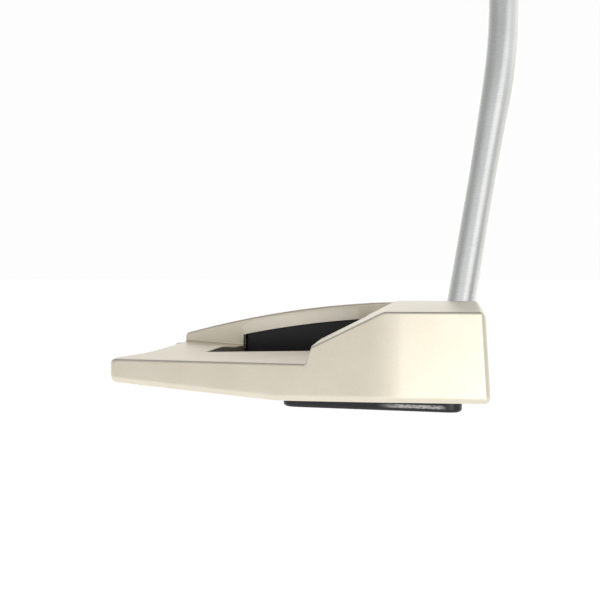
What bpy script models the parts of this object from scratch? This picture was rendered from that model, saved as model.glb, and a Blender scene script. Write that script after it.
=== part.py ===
"""Mallet putter: milled aluminium head, black core and sole plate, bent steel shaft, pistol grip.

Frame: the origin is on the ground under the middle of the sole plate. +X is the way the
face points, +Y runs from toe to heel, +Z is up. Lengths below are millimetres.
"""
import math

import bmesh
import bpy
from mathutils import Vector

MM = 0.001
GAP = 0.3                      # clearance between neighbouring pieces
THIN_GAP = 0.12                # clearance round the thin sleeves and the inlay

# ---- head body ----
FACE_X = 32.5                  # leading edge
TAIL_X = -73.6                 # wing tips
TOE_Y = 56.5                   # half of the heel-to-toe length
TAIL_Y = 39.5                  # half width at the wing tips
BLOCK_REAR_X = 5.0             # where the flat toe and heel ends stop
LOFT = math.radians(3.5)
TOP_Z = 28.7                   # top line at the toe and heel ends
CROWN = 1.4                    # the top line is higher by this in the middle
SLOPE_TOP_X = 4.8
SLOPE_FOOT_X = -14.6
SLOPE_GRADE = 0.50
RISER_X = -16.9                # front of the low wing deck
DECK_Z = 14.55                 # outer edge of the wing deck
DECK_GRADE = 0.0865            # the deck climbs towards the middle
SOLE_Z = 2.3
SOLE_CAMBER = 2.6              # toe and heel ends of the sole are higher by this
SOLE_RELIEF_X = -25.0
SOLE_RELIEF = 0.0885           # the sole climbs to the rear behind SOLE_RELIEF_X
EDGE_TOP = 0.9
EDGE_SOLE = 1.8
EDGE_FACE = 1.6
TAIL_INSET_SHARE = 0.6         # how far the wing tips' sides draw in as they round off
CORNER_R = 5.0                 # between the toe end and the swept wing wall
FOLD_X = -56.7                 # the rear deck folds down from here towards the pocket
FOLD_SKEW = 0.23
FOLD_GRADE = 0.09
FOLD_HALF = 15.5               # the fold fades out at this distance from the middle
RIDGE_EDGE = 0.7               # rounding along the ridge's top edges

# ---- ridge, pockets, rear notch ----
RIDGE_HALF = 4.6
RIDGE_CREST_X = 12.5
RIDGE_CREST_Z = 30.1
RIDGE_R = 264.0
RIDGE_TAIL_X = -59.4
RIDGE_BAND = 4.9               # height of the ridge over the core
POCKET_FRONT_X = -2.0
POCKET_HALF = 28.0
POCKET_REAR = [(-48.7, 28.0), (-45.7, 15.5), (-41.5, 4.0)]
NOTCH = [(-73.5, 39.0), (-65.4, 27.3), (-62.9, 18.5), (-60.0, 8.0)]

# ---- sight line on the ridge's crest ----
SIGHT_FRONT_X = -2.0
SIGHT_REAR_X = -54.0
SIGHT_HALF = 0.75
SIGHT_DEPTH = 0.8

# ---- core ----
CORE_HALF = 4.4
CORE_TAIL_X = -41.2
CORE_FLOOR_BOTTOM = 4.5
CORE_FLOOR_TOP = 8.5
LUG_FRONT_X = 10.0
LUG_HALF = 18.0
LUG_TOP = 7.4

# ---- sole plate, gasket, screws, weights ----
PLATE_FRONT_X = 25.3
PLATE_REAR_X = -26.6
PLATE_FRONT_HALF = 35.5
PLATE_REAR_HALF = 25.5
PLATE_CORNER = 5.0
PLATE_T = 2.9
PLATE_EDGE = 1.0               # rounding along the plate's lower rim
GASKET_GAP = 0.15              # between the plate and the gasket
GASKET_T = 0.7
PLATE_SCREWS = [(18.0, 27.0), (18.0, -27.0), (-20.0, 18.5), (-20.0, -18.5)]
CORE_SCREWS = [(5.0, 12.0), (5.0, -12.0)]
SCREW_HEAD_R = 2.7
SCREW_SHANK_R = 1.45
SCREW_HEAD_H = 1.5
WEIGHT_X = 12.0
WEIGHT_Y = 45.5
WEIGHT_R = 6.0
WEIGHT_H = 6.0

# ---- shaft and grip ----
LIE = math.radians(70.0)
ENTRY = Vector((25.2, 20.0, 29.6))         # shaft axis at the top of the head
LOWER_LEAN = 0.1695                        # forward travel per unit of height
BEND_Z = 117.0
BEND_REACH = 20.0
BORE_DEPTH = 19.0
TIP_R = 4.7
SHAFT_WALL = 0.5
SWELL_START = 60.0                         # the tip swells to meet the bend
SWELL_END = 105.0
SWELL = 0.75
CLUB_LENGTH = 864.0                        # 34 in, measured along the shaft
GRIP_LENGTH = 267.0
BUTT_R = 7.62
STEP_COUNT = 8
STEP_FIRST = 190.0                         # distance from the tip to the first step
STEP_PITCH = 42.0
SHAFT_SIDES = 28
GRIP_SIDES = 36
BAND_LENGTH = 55.0
BAND_T = 0.25
TAPE_T = 0.35
GRIP_BORE_R = BUTT_R + 0.9
GRIP_HALF_X = 10.2                         # half width at the mouth
GRIP_HALF_X_GAIN = 2.9                     # more at the butt
GRIP_PALM = 10.4                           # depth of the palm side at the mouth
GRIP_PALM_GAIN = 3.0
GRIP_BULGE = 3.6                           # pistol swell on the palm side
GRIP_BULGE_AT = 0.80
GRIP_BULGE_WIDTH = 0.15
GRIP_FLAT = 9.9                            # depth of the flat thumb side at the mouth
GRIP_FLAT_GAIN = 2.2
VENT_R = 1.0
CAP_T = 3.2


def clear_scene():
    for item in list(bpy.data.objects):
        bpy.data.objects.remove(item, do_unlink=True)


def make_material(name, colour, roughness, metallic):
    material = bpy.data.materials.new(name)
    material.use_nodes = True
    shader = material.node_tree.nodes["Principled BSDF"]
    shader.inputs["Base Color"].default_value = (*colour, 1.0)
    shader.inputs["Roughness"].default_value = roughness
    shader.inputs["Metallic"].default_value = metallic
    material.diffuse_color = (*colour, 1.0)
    return material


def add_object(name, bm, material, smooth=True):
    """Turn a bmesh in millimetres into an object in metres."""
    bmesh.ops.scale(bm, vec=(MM, MM, MM), verts=bm.verts)
    bmesh.ops.recalc_face_normals(bm, faces=bm.faces)
    mesh = bpy.data.meshes.new(name)
    bm.to_mesh(mesh)
    bm.free()
    item = bpy.data.objects.new(name, mesh)
    bpy.context.collection.objects.link(item)
    if material is not None:
        mesh.materials.append(material)
    if smooth:
        mesh.shade_smooth()
        mesh.set_sharp_from_angle(angle=math.radians(28.0))
    return item


def as_cutter(item):
    item.hide_render = True
    item.display_type = "WIRE"
    return item


def boolean(item, other, operation="DIFFERENCE"):
    modifier = item.modifiers.new(other.name, "BOOLEAN")
    modifier.operation = operation
    modifier.solver = "EXACT"
    modifier.object = as_cutter(other)


# ---------------------------------------------------------------- shape helpers

def loft(rings):
    """Skin rings of equal length, each a closed loop of points, and close both ends."""
    bm = bmesh.new()
    loops = [[bm.verts.new(point) for point in ring] for ring in rings]
    count = len(rings[0])
    for low, high in zip(loops, loops[1:]):
        for i in range(count):
            j = (i + 1) % count
            bm.faces.new((low[i], low[j], high[j], high[i]))
    bm.faces.new(list(reversed(loops[0])))
    bm.faces.new(loops[-1])
    return bm


def tidy(bm, distance=0.002):
    bmesh.ops.remove_doubles(bm, verts=bm.verts, dist=distance)
    bmesh.ops.dissolve_degenerate(bm, edges=bm.edges, dist=distance)
    return bm


def prism(outline, z_low, z_high):
    return loft([[(x, y, z) for x, y in outline] for z in (z_low, z_high)])


def corner_arc(before, corner, after, reach, segments=4):
    """A curve that replaces one corner of a polygon, starting and ending reach away."""
    here = Vector(corner)
    start = here + (Vector(before) - here).normalized() * reach
    end = here + (Vector(after) - here).normalized() * reach
    arc = []
    for step in range(segments + 1):
        t = step / segments
        point = start * (1 - t) ** 2 + here * 2 * t * (1 - t) + end * t ** 2
        arc.append((point.x, point.y))
    return arc


def rounded_outline(corners, reach):
    """A closed polygon with every corner rounded."""
    points = []
    count = len(corners)
    for i, corner in enumerate(corners):
        points += corner_arc(corners[i - 1], corner, corners[(i + 1) % count], reach, 5)
    return points


def mirrored(points):
    """A half outline at +Y, followed by its mirror image at -Y."""
    return points + [(x, -y) for x, y in reversed(points)]


def turned(profile, centre, axis=Vector((0, 0, 1)), segments=28):
    """Turn (radius, height) pairs about an axis; radius 0 closes an end."""
    turn = Vector((0, 0, 1)).rotation_difference(axis)
    rings = []
    for radius, height in profile:
        ring = []
        for i in range(segments):
            angle = 2 * math.pi * i / segments
            spoke = Vector((radius * math.cos(angle), radius * math.sin(angle), height))
            ring.append(centre + turn @ spoke)
        rings.append(ring)
    return loft(rings)


def ring_solid(inner, outer, z_low, z_high, centre, segments=28):
    """A washer."""
    profile = [(outer, z_low), (outer, z_high), (inner, z_high), (inner, z_low)]
    bm = bmesh.new()
    loops = []
    for radius, height in profile:
        loop = []
        for i in range(segments):
            angle = 2 * math.pi * i / segments
            spoke = Vector((radius * math.cos(angle), radius * math.sin(angle), height))
            loop.append(bm.verts.new(centre + spoke))
        loops.append(loop)
    for k in range(len(loops)):
        low = loops[k]
        high = loops[(k + 1) % len(loops)]
        for i in range(segments):
            j = (i + 1) % segments
            bm.faces.new((low[i], low[j], high[j], high[i]))
    return bm


# ---------------------------------------------------------------- head surfaces

def crown(y):
    return CROWN * (1.0 - (y / TOE_Y) ** 2)


def half_width(x):
    """Half of the heel-to-toe width at a station along the head."""
    sweep = (TOE_Y - TAIL_Y) / (BLOCK_REAR_X - TAIL_X)
    straight = TOE_Y - sweep * max(0.0, BLOCK_REAR_X - x)
    if abs(x - BLOCK_REAR_X) < CORNER_R:
        t = (BLOCK_REAR_X + CORNER_R - x) / (2 * CORNER_R)
        straight = TOE_Y - sweep * CORNER_R * t * t
    return straight


def ridge_top(x):
    reach = RIDGE_CREST_X - x
    return RIDGE_CREST_Z - reach * reach / (2 * RIDGE_R)


def deck(x, y):
    """Low wing deck: a plane through the outer wall's top edge that climbs inwards."""
    along = Vector((BLOCK_REAR_X - TAIL_X, TOE_Y - TAIL_Y)).normalized()
    inward = Vector((along.y, -along.x))
    distance = Vector((x - TAIL_X, abs(y) - TAIL_Y)).dot(inward)
    height = DECK_Z + DECK_GRADE * distance
    fold_x = FOLD_X + (abs(y) - 2 * RIDGE_HALF) * FOLD_SKEW
    if abs(y) < FOLD_HALF and fold_x < x < -41.0:
        share = min(1.0, (FOLD_HALF - abs(y)) / (FOLD_HALF - 2 * RIDGE_HALF))
        height -= FOLD_GRADE * share * (x - fold_x)
    return height


def slope(x, y):
    return TOP_Z + crown(y) + SLOPE_GRADE * (min(x, SLOPE_TOP_X) - SLOPE_TOP_X)


def top(x, y):
    if x >= SLOPE_FOOT_X:
        return slope(x, y)
    if x <= RISER_X:
        return deck(x, y)
    t = (x - RISER_X) / (SLOPE_FOOT_X - RISER_X)
    t = t * t * (1.6 - 0.6 * t)
    return deck(RISER_X, y) * (1 - t) + slope(SLOPE_FOOT_X, y) * t


def sole(x, y):
    relief = SOLE_RELIEF * max(0.0, SOLE_RELIEF_X - x)
    return SOLE_Z + SOLE_CAMBER * (y / TOE_Y) ** 2 + relief


def lean(x, z):
    """The face leans back by the loft; the lean fades out over the block."""
    share = min(1.0, max(0.0, (x - 8.0) / (FACE_X - 8.0)))
    return x - share * (z - SOLE_Z - SOLE_CAMBER) * math.tan(LOFT)


def body_section(x, inset):
    """Half section of the head at +Y, from the middle of the sole to the top."""
    wide = half_width(x) - inset
    points = []
    for share in (0.0, 0.3, 0.6, 0.85):
        y = share * (wide - EDGE_SOLE)
        points.append((y, sole(x, y) + inset))
    for step in range(6):
        angle = math.radians(18.0 * step)
        y = wide - EDGE_SOLE + EDGE_SOLE * math.sin(angle)
        z = sole(x, wide) + inset + EDGE_SOLE * (1 - math.cos(angle))
        points.append((y, z))
    for step in range(5):
        angle = math.radians(22.5 * step)
        y = wide - EDGE_TOP + EDGE_TOP * math.cos(angle)
        z = top(x, wide) - inset - EDGE_TOP * (1 - math.sin(angle))
        points.append((y, z))
    for share in (0.88, 0.7, 0.5, 0.3, 0.12):
        y = RIDGE_HALF + share * (wide - EDGE_TOP - RIDGE_HALF)
        points.append((y, top(x, y) - inset))
    ridge_height = 0.0
    if RIDGE_TAIL_X - 0.5 < x < SLOPE_TOP_X:
        ridge_height = max(0.0, ridge_top(x) - top(x, RIDGE_HALF))
        ridge_height *= min(1.0, (x - RIDGE_TAIL_X + 0.5) / 0.5)
    edge = min(RIDGE_EDGE, ridge_height / 2)
    foot = top(x, RIDGE_HALF) - inset
    points.append((RIDGE_HALF, foot))
    points.append((RIDGE_HALF, foot + ridge_height - edge))
    points.append((RIDGE_HALF - 0.3 * edge, foot + ridge_height - 0.3 * edge))
    points.append((RIDGE_HALF - edge, foot + ridge_height))
    points.append((0.0, foot + ridge_height))
    return points


def full_section(x, inset):
    half = body_section(x, inset)
    left = [(-y, z) for y, z in reversed(half[1:-1])]
    return [Vector((lean(x, z), y, z)) for y, z in half + left]


def body_stations():
    """(x, inset) pairs from the tail to the face; the ends are rounded by insets."""
    stations = []
    for step in range(5):
        angle = math.radians(22.5 * (4 - step))
        stations.append((TAIL_X + EDGE_SOLE * (1 - math.sin(angle)),
                         EDGE_SOLE * (1 - math.cos(angle)) * TAIL_INSET_SHARE))
    for x in (-68.0, -64.0, RIDGE_TAIL_X - 0.55, RIDGE_TAIL_X, -58.4, -56.0, -52.0, -48.0,
              -44.0, -40.0, -36.0, -32.0, -28.0, -25.0, -22.0, -19.0, RISER_X, -16.3,
              -15.7, -15.1, SLOPE_FOOT_X, -11.0, -7.0, -3.0, 0.0, 1.5, 3.0, 4.0,
              SLOPE_TOP_X, 6.0, 8.0, 10.0, 14.0, 18.0, 22.0, 26.0, 29.0):
        stations.append((x, 0.0))
    for step in range(5):
        angle = math.radians(22.5 * step)
        stations.append((FACE_X - EDGE_FACE * (1 - math.sin(angle)),
                         EDGE_FACE * (1 - math.cos(angle))))
    return stations


def head_blank(material):
    rings = [full_section(x, inset) for x, inset in body_stations()]
    return add_object("head_body", tidy(loft(rings)), material)


def arch_profile():
    """Points (x, z) along the underside of the ridge, from the block to the tail."""
    points = []
    for step in range(12):
        x = POCKET_FRONT_X + (POCKET_REAR[-1][0] - POCKET_FRONT_X) * step / 11
        points.append((x, ridge_top(x) - RIDGE_BAND))
    return points


def pocket_outline(side, inset=0.0):
    inner = RIDGE_HALF + 0.05
    corners = [(POCKET_FRONT_X - inset, inner), (POCKET_FRONT_X - inset, POCKET_HALF - inset)]
    corners += [(x + inset, y - inset) for x, y in POCKET_REAR[:2]]
    corners.append((POCKET_REAR[2][0] + inset, inner))
    outline = []
    count = len(corners)
    for i, corner in enumerate(corners):
        if i in (1, 2):
            outline += corner_arc(corners[i - 1], corner, corners[(i + 1) % count], 2.5)
        else:
            outline.append(corner)
    return [(x, side * y) for x, y in outline]


def side_prism(profile, half):
    """Extrude an (x, z) outline across the head."""
    return loft([[(x, y, z) for x, z in profile] for y in (-half, half)])


def plate_outline(grow=0.0):
    corners = [(PLATE_FRONT_X + grow, PLATE_FRONT_HALF + grow),
               (PLATE_REAR_X - grow, PLATE_REAR_HALF + grow),
               (PLATE_REAR_X - grow, -PLATE_REAR_HALF - grow),
               (PLATE_FRONT_X + grow, -PLATE_FRONT_HALF - grow)]
    return rounded_outline(corners, PLATE_CORNER + grow)


# ---------------------------------------------------------------- head parts

def shaft_axis():
    """Unit direction of the lower, straight stretch of the shaft."""
    return Vector((LOWER_LEAN, 1.0 / math.tan(LIE), 1.0)).normalized()


def build_head_body(material):
    body = head_blank(material)
    notch = mirrored([(TAIL_X - 12.0, NOTCH[0][1] + 6.0)] + NOTCH)
    boolean(body, add_object("cut_notch", prism(notch, -2.0, 40.0), None))
    for side, name in ((1, "heel"), (-1, "toe")):
        outline = pocket_outline(side)
        boolean(body, add_object("cut_pocket_" + name, prism(outline, -2.0, 40.0), None))
    arch = arch_profile()
    arch += [(arch[-1][0], -2.0), (arch[0][0], -2.0)]
    boolean(body, add_object("cut_arch", side_prism(arch, RIDGE_HALF + 1.0), None))
    recess_top = PLATE_T + GASKET_GAP + GASKET_T + GAP + 0.1
    boolean(body, add_object("cut_recess", prism(plate_outline(GAP), -2.0, recess_top), None))
    lug = [(POCKET_FRONT_X - 1.0, LUG_HALF + GAP), (LUG_FRONT_X + GAP, LUG_HALF + GAP),
           (LUG_FRONT_X + GAP, -LUG_HALF - GAP), (POCKET_FRONT_X - 1.0, -LUG_HALF - GAP)]
    boolean(body, add_object("cut_lug", prism(lug, -2.0, LUG_TOP + GAP), None))
    for index, (x, y) in enumerate(PLATE_SCREWS[:2]):
        hole = turned([(SCREW_SHANK_R + GAP, 0.0), (SCREW_SHANK_R + GAP, 11.0)],
                      Vector((x, y, 0.0)))
        boolean(body, add_object("cut_plate_screw_%d" % index, hole, None))
    for index, (x, y) in enumerate(CORE_SCREWS):
        hole = turned([(SCREW_SHANK_R + GAP, 4.0), (SCREW_SHANK_R + GAP, 14.0)],
                      Vector((x, y, 0.0)))
        boolean(body, add_object("cut_core_screw_%d" % index, hole, None))
    for side, name in ((1, "heel"), (-1, "toe")):
        pocket = turned([(WEIGHT_R + GAP, 0.0), (WEIGHT_R + GAP, weight_base() + WEIGHT_H + 1.6)],
                        Vector((WEIGHT_X, side * WEIGHT_Y, 0.0)))
        boolean(body, add_object("cut_weight_" + name, pocket, None))
    bore = turned([(TIP_R + GAP, -BORE_DEPTH), (TIP_R + GAP, 12.0)], ENTRY, shaft_axis())
    boolean(body, add_object("cut_bore", bore, None))
    groove = side_prism(sight_profile(THIN_GAP), SIGHT_HALF + THIN_GAP)
    boolean(body, add_object("cut_sight", groove, None))


def sight_profile(clearance):
    """Outline (x, z) of the sight line, which follows the ridge's crest."""
    upper = []
    lower = []
    for step in range(14):
        share = step / 13
        x = SIGHT_FRONT_X + clearance + (SIGHT_REAR_X - SIGHT_FRONT_X - 2 * clearance) * share
        rise = 0.5 if clearance > 0.0 else -0.1
        upper.append((x, ridge_top(x) + rise))
        lower.append((x, ridge_top(x) - SIGHT_DEPTH - clearance))
    return upper + list(reversed(lower))


def build_sight_line(material):
    add_object("sight_line", side_prism(sight_profile(0.0), SIGHT_HALF), material)


def build_core(material):
    floor_outline = mirrored(pocket_outline(1, GAP)[1:])
    floor = prism(floor_outline, CORE_FLOOR_BOTTOM, CORE_FLOOR_TOP)
    core = add_object("center_core", floor, material)
    wall_profile = []
    front = POCKET_FRONT_X - GAP
    for step in range(10):
        x = front + (CORE_TAIL_X - front) * step / 9
        wall_profile.append((x, ridge_top(x) - RIDGE_BAND - GAP))
    wall_profile += [(CORE_TAIL_X, CORE_FLOOR_BOTTOM + 1.0), (front, CORE_FLOOR_BOTTOM + 1.0)]
    wall = side_prism(wall_profile, CORE_HALF)
    tail_edges = [edge for edge in wall.edges
                  if all(abs(v.co.x - CORE_TAIL_X) < 0.01 for v in edge.verts)
                  and abs(edge.verts[0].co.y - edge.verts[1].co.y) < 0.01]
    bmesh.ops.bevel(wall, geom=tail_edges, offset=2.4, segments=5, profile=0.5,
                    affect="EDGES")
    boolean(core, add_object("join_wall", wall, None), "UNION")
    lug = prism([(POCKET_FRONT_X - 3.0, LUG_HALF), (LUG_FRONT_X, LUG_HALF),
                 (LUG_FRONT_X, -LUG_HALF), (POCKET_FRONT_X - 3.0, -LUG_HALF)],
                CORE_FLOOR_BOTTOM, LUG_TOP)
    boolean(core, add_object("join_lug", lug, None), "UNION")
    for index, (x, y) in enumerate(PLATE_SCREWS[2:]):
        hole = turned([(SCREW_SHANK_R + GAP, 3.0), (SCREW_SHANK_R + GAP, 8.0)],
                      Vector((x, y, 0.0)))
        boolean(core, add_object("cut_floor_screw_%d" % index, hole, None))
    for index, (x, y) in enumerate(CORE_SCREWS):
        hole = turned(screw_clearance(CORE_FLOOR_BOTTOM, 12.0), Vector((x, y, 0.0)))
        boolean(core, add_object("cut_lug_screw_%d" % index, hole, None))


def screw_clearance(z_face, z_end):
    """Countersunk hole, from below the face upwards."""
    wide = SCREW_HEAD_R + GAP
    narrow = SCREW_SHANK_R + GAP
    return [(wide, z_face - 1.0), (wide, z_face + 0.3),
            (narrow, z_face + 0.3 + SCREW_HEAD_H), (narrow, z_end)]


def build_sole_plate(material):
    bm = prism(plate_outline(), 0.0, PLATE_T)
    rim = [edge for edge in bm.edges
           if all(abs(v.co.z) < 0.01 for v in edge.verts)]
    bmesh.ops.bevel(bm, geom=rim, offset=PLATE_EDGE, segments=4, profile=0.5, affect="EDGES")
    plate = add_object("sole_plate", bm, material)
    for index, (x, y) in enumerate(PLATE_SCREWS):
        hole = turned(screw_clearance(0.0, 6.0), Vector((x, y, 0.0)))
        boolean(plate, add_object("cut_plate_hole_%d" % index, hole, None))


def build_gasket(material):
    low = PLATE_T + GASKET_GAP
    gasket = add_object("sole_gasket", prism(plate_outline(-1.5), low, low + GASKET_T), material)
    for index, (x, y) in enumerate(PLATE_SCREWS):
        hole = turned([(SCREW_SHANK_R + GAP, 1.0), (SCREW_SHANK_R + GAP, 6.0)],
                      Vector((x, y, 0.0)))
        boolean(gasket, add_object("cut_gasket_hole_%d" % index, hole, None))
    window = [(8.5, 16.0), (1.5, 16.0), (1.5, -16.0), (8.5, -16.0)]
    boolean(gasket, add_object("cut_gasket_window", prism(window, 1.0, 6.0), None))


def build_screw(name, x, y, z_face, length, material):
    """Countersunk screw, head down, with a hexagon socket."""
    head = z_face + 0.35
    profile = [(SCREW_HEAD_R, head), (SCREW_SHANK_R, head + SCREW_HEAD_H),
               (SCREW_SHANK_R, z_face + length - 0.4), (SCREW_SHANK_R - 0.4, z_face + length)]
    screw = add_object(name, turned(profile, Vector((x, y, 0.0)), segments=24), material)
    socket = turned([(1.15, head - 1.0), (1.15, head + 1.3)], Vector((x, y, 0.0)), segments=6)
    boolean(screw, add_object("cut_socket_" + name, socket, None))


def weight_base():
    """Height of a sole weight's outer face."""
    return sole(WEIGHT_X, WEIGHT_Y + WEIGHT_R) + 0.1


def build_weight(name, side, material):
    low = weight_base()
    profile = [(WEIGHT_R - 0.5, low), (WEIGHT_R, low + 0.5), (WEIGHT_R, low + WEIGHT_H - 0.3),
               (WEIGHT_R - 0.3, low + WEIGHT_H)]
    centre = Vector((WEIGHT_X, side * WEIGHT_Y, 0.0))
    weight = add_object(name, turned(profile, centre), material)
    for index, reach in enumerate((-3.2, 3.2)):
        spot = centre + Vector((0.0, reach, 0.0))
        pin_hole = turned([(0.9, low - 1.0), (0.9, low + 2.0)], spot, segments=16)
        boolean(weight, add_object("cut_pin_%s_%d" % (name, index), pin_hole, None))


def build_weight_ring(name, side, material):
    low = weight_base() + WEIGHT_H + GAP
    centre = Vector((WEIGHT_X, side * WEIGHT_Y, 0.0))
    add_object(name, ring_solid(3.4, WEIGHT_R - 0.2, low, low + 1.0, centre), material)


# ---------------------------------------------------------------- shaft and grip

def upper_axis():
    return Vector((0.0, math.cos(LIE), math.sin(LIE)))


def bend_point():
    return ENTRY + shaft_axis() * ((BEND_Z - ENTRY.z) / shaft_axis().z)


def butt_point():
    """Top end of the club: its length is measured from the ground along the shaft."""
    bend = bend_point()
    travelled = (bend - ENTRY).length + ENTRY.z / math.sin(LIE)
    return bend + upper_axis() * (CLUB_LENGTH - travelled)


def shaft_radius(height_along):
    """Tip, swell through the bend, then small steps up to the butt."""
    if height_along < SWELL_START:
        return TIP_R
    swollen = TIP_R + SWELL
    if height_along < SWELL_END:
        t = (height_along - SWELL_START) / (SWELL_END - SWELL_START)
        return TIP_R + (swollen - TIP_R) * t * t * (3 - 2 * t)
    done = min(STEP_COUNT, max(0, int((height_along - STEP_FIRST) / STEP_PITCH) + 1))
    return swollen + (BUTT_R - swollen) * done / STEP_COUNT


def shaft_rings():
    """(centre, tangent, distance along) for each ring of the shaft's centreline."""
    low = shaft_axis()
    high = upper_axis()
    bend = bend_point()
    start = ENTRY - low * (BORE_DEPTH - 0.8)
    bend_in = bend - low * BEND_REACH
    bend_out = bend + high * BEND_REACH
    end = butt_point() - high * (CAP_T + 1.0)
    rings = []
    for distance in (0.0, 20.0, 45.0, 60.0, 67.0, 74.0):
        rings.append((start + low * distance, low, distance))
    base = (bend_in - start).length
    previous = bend_in
    travelled = base
    for step in range(11):
        t = step / 10
        point = bend_in * (1 - t) ** 2 + bend * 2 * t * (1 - t) + bend_out * t ** 2
        tangent = ((bend - bend_in) * (1 - t) + (bend_out - bend) * t).normalized()
        travelled += (point - previous).length
        previous = point
        rings.append((point, tangent, travelled))
    straight = (end - bend_out).length
    marks = [12.0]
    for step in range(STEP_COUNT):
        edge = STEP_FIRST + STEP_PITCH * step - travelled
        marks += [edge - 0.8, edge + 0.01]
    marks += [straight * 0.75, straight]
    for mark in sorted(marks):
        rings.append((bend_out + high * mark, high, travelled + mark))
    return rings


def ring_at(centre, tangent, radius, segments):
    side = Vector((1.0, 0.0, 0.0))
    side = (side - tangent * side.dot(tangent)).normalized()
    other = tangent.cross(side)
    ring = []
    for i in range(segments):
        angle = 2 * math.pi * i / segments
        ring.append(centre + side * (radius * math.cos(angle)) + other * (radius * math.sin(angle)))
    return ring


def tube(outer_rings, inner_rings):
    """Close an outer and an inner skin into one hollow solid."""
    rings = outer_rings + list(reversed(inner_rings))
    bm = bmesh.new()
    loops = [[bm.verts.new(point) for point in ring] for ring in rings]
    count = len(rings[0])
    for k in range(len(loops)):
        low = loops[k]
        high = loops[(k + 1) % len(loops)]
        for i in range(count):
            j = (i + 1) % count
            bm.faces.new((low[i], low[j], high[j], high[i]))
    return bm


def build_shaft(material):
    rings = shaft_rings()
    outer = [ring_at(p, t, shaft_radius(s), SHAFT_SIDES) for p, t, s in rings]
    bore_rings = [rings[0]] + rings[3:17:2] + [rings[19], rings[-3], rings[-1]]
    inner = [ring_at(p, t, shaft_radius(s) - SHAFT_WALL, SHAFT_SIDES) for p, t, s in bore_rings]
    add_object("shaft", tube(outer, inner), material)


def build_tip_plug(material):
    low = shaft_axis()
    foot = ENTRY - low * (BORE_DEPTH - 1.6)
    radius = TIP_R - SHAFT_WALL - GAP
    profile = [(radius - 0.3, 0.0), (radius, 0.3), (radius, 8.7), (radius - 0.3, 9.0)]
    add_object("tip_plug", turned(profile, foot, low, 24), material)


def build_sleeve(name, top_distance, length, radius, thickness, material):
    """Thin sleeve on the straight upper shaft; distances run down from the butt."""
    high = upper_axis()
    upper = butt_point() - high * top_distance
    lower = upper - high * length
    outer = [ring_at(p, high, radius + thickness, SHAFT_SIDES) for p in (lower, upper)]
    inner = [ring_at(p, high, radius, SHAFT_SIDES) for p in (lower, upper)]
    add_object(name, tube(outer, inner), material)


def grip_ring(share, segments):
    """Cross-section of the grip; share is 0 at its mouth and 1 at its butt."""
    high = upper_axis()
    side = Vector((1.0, 0.0, 0.0))
    thumb = high.cross(side).normalized()
    if thumb.y > 0:
        thumb = -thumb
    half_x = GRIP_HALF_X + GRIP_HALF_X_GAIN * share
    bulge = math.exp(-((share - GRIP_BULGE_AT) / GRIP_BULGE_WIDTH) ** 2)
    palm = GRIP_PALM + GRIP_PALM_GAIN * share + GRIP_BULGE * bulge
    flat = GRIP_FLAT + GRIP_FLAT_GAIN * share
    edge = max(0.0, 0.03 - share) / 0.03
    squeeze = 1.0 - 0.06 * edge
    centre = butt_point() - high * (GRIP_LENGTH * (1 - share) + CAP_T * share)
    ring = []
    for i in range(segments):
        angle = 2 * math.pi * i / segments
        across = half_x * math.copysign(abs(math.cos(angle)) ** 0.86, math.cos(angle))
        raised = math.sin(angle)
        if raised >= 0:
            depth = flat * min(1.0, raised * 1.32) ** 0.9
        else:
            depth = -palm * abs(raised) ** 0.95
        ring.append(centre + side * (across * squeeze) + thumb * (depth * squeeze))
    return ring


def build_grip(material):
    high = upper_axis()
    shares = [0.0, 0.015, 0.04, 0.12, 0.22, 0.32, 0.42, 0.5, 0.57, 0.63, 0.68, 0.72, 0.76,
              0.80, 0.84, 0.88, 0.92, 0.96, 1.0]
    segments = GRIP_SIDES
    outer = [grip_ring(share, segments) for share in shares]
    inner = []
    for share in (0.0, 1.0):
        centre = butt_point() - high * (GRIP_LENGTH * (1 - share) + CAP_T * share)
        inner.append(align_ring(ring_at(centre, high, GRIP_BORE_R, segments), segments))
    outer = [align_ring(ring, segments) for ring in outer]
    add_object("grip", tube(outer, inner), material)


def align_ring(ring, segments):
    """Order a ring by its angle about the shaft, so that neighbours pair up."""
    high = upper_axis()
    side = Vector((1.0, 0.0, 0.0))
    other = high.cross(side)
    base = butt_point()

    def angle(point):
        spoke = point - base
        value = math.atan2(spoke.dot(other), spoke.dot(side))
        return value if value > -1e-6 else value + 2 * math.pi

    return sorted(ring, key=angle)[:segments]


def build_grip_cap(material):
    """Rounded butt cap with a vent hole."""
    high = upper_axis()
    segments = GRIP_SIDES
    rim = align_ring(grip_ring(1.0, segments), segments)
    base = butt_point() - high * CAP_T
    rings = []
    for lift, scale in ((GAP, 0.985), (CAP_T - 1.4, 0.985), (CAP_T - 0.6, 0.95),
                        (CAP_T - 0.1, 0.86), (CAP_T, 0.72)):
        rings.append([base + (point - base) * scale + high * lift for point in rim])
    cap = add_object("grip_cap", loft(rings), material)
    vent = turned([(VENT_R, -3.0), (VENT_R, CAP_T + 3.0)], base, high, 16)
    boolean(cap, add_object("cut_vent", vent, None))


# ---------------------------------------------------------------- assembly

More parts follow.
